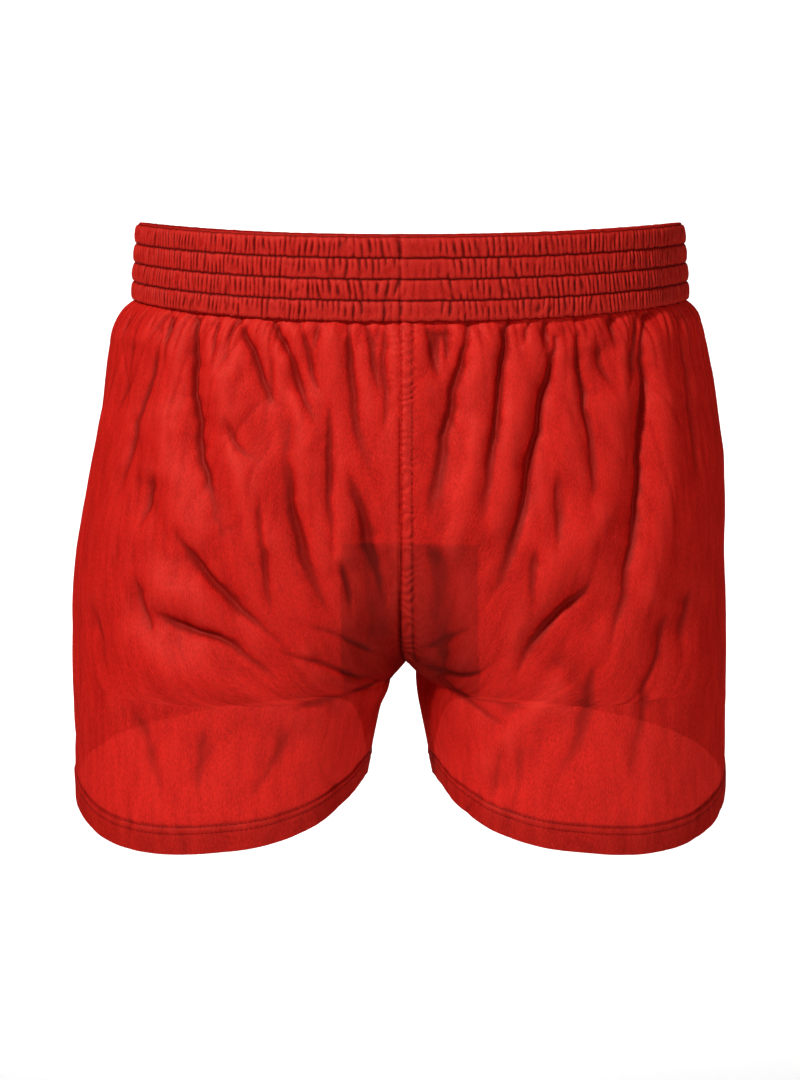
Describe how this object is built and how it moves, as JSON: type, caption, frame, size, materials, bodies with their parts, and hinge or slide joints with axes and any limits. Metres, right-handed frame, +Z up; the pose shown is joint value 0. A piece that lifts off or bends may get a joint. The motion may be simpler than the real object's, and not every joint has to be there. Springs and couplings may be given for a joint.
{
  "type": "boxing shorts",
  "caption": "Pull-on satin boxing shorts: gathered elastic waistband, two short wide legs with turned and stitched hems; the elastic waist springs open to the front.",
  "frame": {"origin": "middle of the waist opening, level with the top of the side seams", "axes": "+Z up out of the waist, -Y out of the front, +X to the wearer's left"},
  "size_m": [0.3552, 0.2295, 0.3244],
  "materials": {
    "satin": "satin",
    "inner_satin": "satin",
    "elastic_webbing": "matte",
    "sewing_thread": "matte"
  },
  "bodies": {
    "back": {"back_panel_right": "satin", "back_panel_left": "satin", "waistband_back_right": "satin", "waistband_back_left": "satin", "hem_back_right": "satin", "hem_back_left": "satin", "back_seam_allowance": "inner_satin", "side_seam_allowance_right": "inner_satin", "side_seam_allowance_left": "inner_satin", "inseam_allowance_right": "inner_satin", "inseam_allowance_left": "inner_satin", "elastic_1": "elastic_webbing", "elastic_2": "elastic_webbing", "elastic_3": "elastic_webbing", "elastic_4": "elastic_webbing", "waist_stitching_back": "sewing_thread", "hem_stitching_back_right": "sewing_thread", "hem_stitching_back_left": "sewing_thread"},
    "front": {"front_panel_right": "satin", "front_panel_left": "satin", "waistband_front_right": "satin", "waistband_front_left": "satin", "hem_front_right": "satin", "hem_front_left": "satin", "fly_strip": "inner_satin", "crotch_lining": "inner_satin", "waist_stitching_front": "sewing_thread", "hem_stitching_front_right": "sewing_thread", "hem_stitching_front_left": "sewing_thread", "fly_stitching": "sewing_thread"}
  },
  "joints": [
    {"name": "waist_opening", "type": "hinge", "parent": "back", "child": "front", "pos_m": [0, -0.05, -0.325], "axis": [1, 0, 0], "range_deg": [0, 12], "stiffness_Nm_per_rad": 20, "deforming": ["elastic_1", "elastic_2", "elastic_3", "elastic_4"]}
  ]
}
